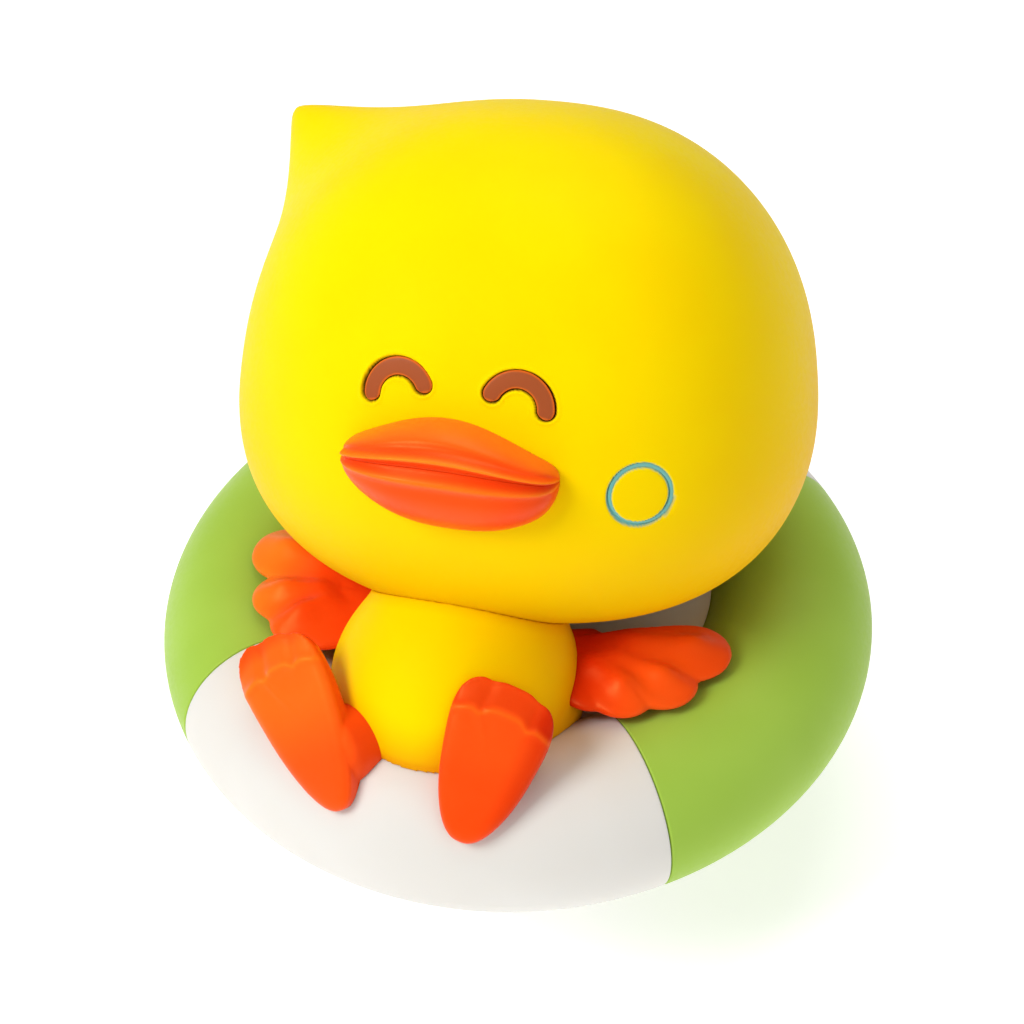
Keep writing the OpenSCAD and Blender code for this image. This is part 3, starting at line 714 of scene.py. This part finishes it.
def make_foot(side, name):
    """A foot with its sole turned to the front, and the ankle behind it."""
    lift = np.array([0, 0, RING_Z])
    facts = FEET[side]
    heel, toes = (np.array(facts[key], float) + lift for key in ("heel", "toes"))
    along = unit(toes - heel)
    out = heading(*facts["out"])
    out = unit(out - along * (along @ out))
    half_l = (np.linalg.norm(toes - heel) + 2.5) / 2
    middle = heel + along * (half_l - 1.2)

    def outline(turn):
        """An egg with its wide, square end at the toes, where two notches part three toes."""
        c, s = np.cos(turn), np.sin(turn)
        square = np.where(c > 0, 0.62, 0.84)
        x = half_l * np.sign(c) * np.abs(c) ** square
        y = facts["shift"][0] + facts["shift"][1] * x
        y = y + (facts["half"][0] + facts["half"][1] * x) * np.sign(s) * np.abs(s) ** square
        for notch in facts["notches"]:
            x = x - 0.6 * bell(y, notch, 1.8) * smooth(0.5, 0.9, c)
        return x, y

    def past_crease(x, y):
        """How far a place on the sole is past the scalloped crease where the toes turn back."""
        scallops = sum(bell(y, notch, 1.5) for notch in facts["notches"])
        return x - (0.66 * half_l - 0.02 * y ** 2 - 1.2 * scallops)

    def sole(x, y, share):
        """A flat sole with a low bead along the crease, which turns back past it."""
        toe = past_crease(x, y)
        return 2.0 - 0.3 * share ** 3 + 0.45 * bell(toe, 0, 0.9) - 0.34 * np.maximum(toe, 0)

    def back(x, y, share):
        """The foot's back, thickest at the heel, with dents between the toes."""
        heelward = (1 - x / half_l) / 2
        dent = sum(bell(y, notch, 2.4) for notch in facts["notches"]) * smooth(0.45, 0.9, x / half_l)
        return 4.2 + 5.2 * heelward ** 1.5 + 0.7 * smooth(0.5, 0.9, x / half_l) - 1.2 * dent

    slab = pillow(name, middle, along, out, outline, sole, back, 0.19, ORANGE)
    ankle = middle - along * (0.4 * half_l) - out * 2.5
    stem = tube(name + "_stem", ankle, ankle + (BALL_C - ankle) * 0.55, (facts["ankle"], 8), ORANGE)
    foot = moulded([slab, stem], name)
    move_clear(foot, FOOT_GAP)
    off = points_of(foot) - middle
    x, y, over = off @ along, off @ np.cross(out, along), off @ out
    toe = past_crease(x, y)
    front = smooth(-1, 0.5, over)
    # deep lays painted shade on the toe fronts past the crease, along one long side and over the back;
    # pale lays a painted highlight along the crease bead and painted light towards the toes.
    dark = facts["toe_front_shade"] * smooth(0.3, 1.8, toe) * front + facts["edge"] * smooth(3, 10, -side * y)
    paint(foot, "deep", dark + 0.3 * (1 - front))
    paint(foot, "pale", 0.25 * bell(toe, 0, 0.6) * front + facts["toe_light"] * smooth(-12, 8, x) * front)
    return foot


# ---------- swim ring ----------
def make_cell(start, name, material):
    """A quarter of the ring with softly rounded ends, so that a hairline shows between the colours. gap is
    in degrees at each end, and soft is the radius that rounds it."""
    gap, soft = 0.07, 0.45
    end = np.array([0, 0.06, 0.16, 0.3, 0.5])
    a = np.concatenate([end, np.linspace(1, 89, 89), 90 - end[::-1]])
    edge = np.minimum(a, 90 - a) * np.pi / 180 * RING_R
    shrink = soft * (1 - np.sqrt(np.clip(1 - (1 - np.clip(edge / soft, 0, 1)) ** 2, 0, 1)))
    turn = np.radians(start + gap + a * (90 - 2 * gap) / 90)[:, None]
    b = np.linspace(0, 2 * np.pi, 144, endpoint=False)[None]
    r = TUBE_R - SKIN_INSET - shrink[:, None]
    ring = RING_R + r * np.cos(b)
    rings = np.stack([ring * np.cos(turn), ring * np.sin(turn), RING_Z + r * np.sin(b) + 0 * turn], -1)
    return globe(name, rings, rings[0].mean(0), rings[-1].mean(0), material)


# ---------- the object ----------
FLOAT_PIECES = [
    (make_head(), "head_shell", "yellow_vinyl"),
    (make_body(), "body_shell", "yellow_vinyl"),
    (make_eye(1, "eye_stroke_left"), "eye_inlay_left", "brown_paint"),
    (make_eye(-1, "eye_stroke_right"), "eye_inlay_right", "brown_paint"),
    (make_mark(), "cheek_mark", "blue_paint"),
    (make_bill(1, "bill_top"), "upper_bill", "orange_vinyl"),
    (make_bill(-1, "bill_bottom"), "lower_bill", "orange_vinyl"),
    (make_wing(1, "wing_skin_left"), "wing_left", "orange_vinyl"),
    (make_wing(-1, "wing_skin_right"), "wing_right", "orange_vinyl"),
    (make_foot(1, "foot_skin_left"), "foot_left", "orange_vinyl"),
    (make_foot(-1, "foot_skin_right"), "foot_right", "orange_vinyl"),
    (make_cell(-135, "ring_skin_front", WHITE), "ring_front", "white_vinyl"),
    (make_cell(-45, "ring_skin_left", GREEN), "ring_left", "green_vinyl"),
    (make_cell(45, "ring_skin_rear", WHITE), "ring_rear", "white_vinyl"),
    (make_cell(135, "ring_skin_right", GREEN), "ring_right", "green_vinyl"),
]
for piece, node, finish in FLOAT_PIECES:
    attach(piece, "float")
    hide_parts(node)

CARRIED = {
    WHITE_PLASTIC: ["hub_sleeve", "deck_plate", "tether_eye", "fill_plugs", "canister", "base_cap",
                    "neck_coupler"],
    GREY_PLASTIC: ["vent_collar", "tablet_tray"],
    RUBBER: ["deck_seal", "rim_gasket"],
    STEEL: ["figure_screws", "deck_screws", "base_screws"],
    IRON: ["ballast_ring"],
}
for material, names in CARRIED.items():
    for name in names:
        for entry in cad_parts[name].material_slots:
            entry.material = material


# ---------- stage ----------
def make_floor():
    """A wide pale floor under the base."""
    size = 3000
    corners = [(-size, -size, 0), (size, -size, 0), (size, size, 0), (-size, size, 0)]
    material = finish_of("floor_paper", (0.84, 0.84, 0.84), (0.83, 0.83, 0.83), 0.9, grain=40,
                         grain_depth=0.01)
    shader = material.node_tree.nodes["Principled BSDF"]
    shader.inputs["Emission Color"].default_value = (1, 1, 1, 1)
    shader.inputs["Emission Strength"].default_value = 0.55
    floor = make_object("floor", corners, [[0, 1, 2, 3]], material)


def make_light(name, place, aim, size, power, colour):
    """A square area light, place and aim in millimetres."""
    data = bpy.data.lights.new(name, "AREA")
    data.size = size * MM
    data.energy = power
    data.color = colour
    light = bpy.data.objects.new(name, data)
    light.location = Vector(place) * MM
    light.rotation_euler = (Vector(aim) - Vector(place)).to_track_quat("-Z", "Y").to_euler()
    bpy.context.collection.objects.link(light)


def make_camera():
    """The photograph's viewing angle: from the figure's front left and above."""
    turn, lift, roll, distance, lens = 23.0, 42.9, 2.86, 790.0, 112.4
    back = heading(turn, lift)
    aim = np.array([0, 0, RING_Z + 37.4])
    data = bpy.data.cameras.new("camera")
    data.sensor_width = 36
    data.lens = lens
    camera = bpy.data.objects.new("camera", data)
    flat = Vector(-back).to_track_quat("-Z", "Y").to_matrix()
    camera.matrix_world = (flat @ Matrix.Rotation(np.radians(-roll), 3, "Z")).to_4x4()
    camera.location = Vector(aim + back * distance) * MM
    bpy.context.collection.objects.link(camera)
    bpy.context.scene.camera = camera


make_floor()
FIGURE_MIDDLE = (0, -10, RING_Z + 50)
make_light("key", (-420, -520, 760), FIGURE_MIDDLE, 420, 6.0, (1, 0.985, 0.96))
make_light("fill", (620, -420, 420), FIGURE_MIDDLE, 600, 1.1, (1, 0.98, 0.95))
make_light("top", (0, 250, 900), FIGURE_MIDDLE, 500, 2.6, (1, 1, 1))
make_camera()

world = bpy.data.worlds.new("world")
world.use_nodes = True
world.node_tree.nodes["Background"].inputs["Color"].default_value = (1, 1, 1, 1)
world.node_tree.nodes["Background"].inputs["Strength"].default_value = 0.31
bpy.context.scene.world = world
bpy.context.scene.view_settings.view_transform = "Standard"
